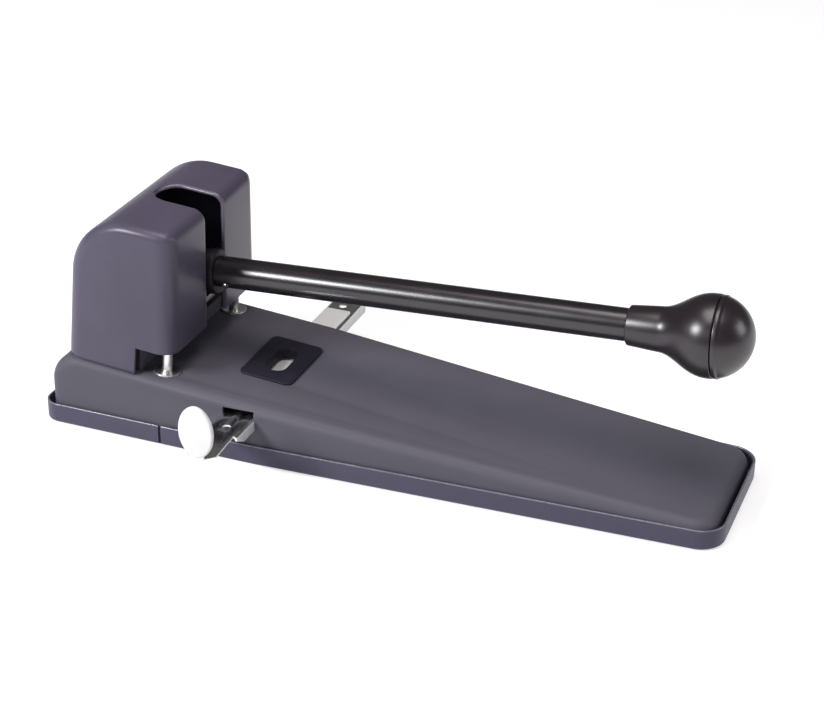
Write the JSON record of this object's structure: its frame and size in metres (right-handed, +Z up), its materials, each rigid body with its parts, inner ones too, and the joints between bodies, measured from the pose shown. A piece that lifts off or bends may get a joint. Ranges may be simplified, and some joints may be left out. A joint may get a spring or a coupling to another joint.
{
  "type": "two-hole paper punch",
  "caption": "Desk paper punch with a wedge-shaped base plate on a tray, a rounded head over the paper throat, a long tube lever with a ball knob, and a sliding paper guide.",
  "frame": {"origin": "on the table, below the middle of the line through the two punch pins where it meets the plate's top", "axes": "+X across the punch, away from the side with the paddle; +Y to the back, so the knob points to -Y; +Z up"},
  "size_m": [0.1974, 0.3705, 0.1211],
  "materials": {
    "tray_plastic": "satin moulded plastic",
    "cover_plastic": "satin moulded plastic",
    "plate_paint": "slate grey powder coat",
    "black_paint": "semi-gloss black enamel",
    "knob_plastic": "semi-gloss",
    "bezel_plastic": "gloss",
    "white_plastic": "gloss",
    "scale_film": "bare white film",
    "bright_steel": "bright plated steel",
    "steel": "plain steel",
    "dark_steel": "dark paint",
    "casting": "die-cast",
    "brass": "machined"
  },
  "bodies": {
    "base": {"base_tray": "tray_plastic", "base_plate": "plate_paint", "plate_posts": "steel", "base_screws": "steel", "die_left": "bright_steel", "die_right": "bright_steel", "head_frame": "casting", "frame_screws": "steel", "pin_guides": "brass", "back_stop": "dark_steel", "lever_axle": "steel", "axle_clips": "steel", "head_cover": "cover_plastic", "cover_screws": "steel", "window_bezel": "bezel_plastic", "rail_keepers": "steel"},
    "lever": {"lever_arm": "black_paint", "drive_pin": "steel", "lever_tube": "black_paint", "tube_screw": "bright_steel", "knob_body": "knob_plastic", "knob_cap": "knob_plastic"},
    "carriage": {"pressure_bar": "steel", "punch_pin_left": "bright_steel", "punch_pin_right": "bright_steel", "pin_clips": "steel"},
    "rail": {"guide_rail": "bright_steel", "rail_paddle": "white_plastic", "scale_strip": "scale_film"},
    "chips": {"chip_tray": "tray_plastic"}
  },
  "joints": [
    {"name": "lever_hinge", "type": "hinge", "parent": "base", "child": "lever", "pos_m": [0, 0.01487, 0.08224], "axis": [-1, 0, 0], "range_deg": [0, 68]},
    {"name": "carriage_slide", "type": "slide", "parent": "base", "child": "carriage", "axis": [0, -0.0802, 0.9968], "range_m": [0, 0.0191]},
    {"name": "rail_slide", "type": "slide", "parent": "base", "child": "rail", "axis": [-1, 0, 0], "range_m": [0, 0.075]},
    {"name": "chip_slide", "type": "slide", "parent": "base", "child": "chips", "axis": [0, 1, 0], "range_m": [0, 0.06]}
  ],
  "couplings": [
    {"joint": "carriage_slide", "follows": "lever_hinge", "m_per_rad": 0.01602}
  ]
}
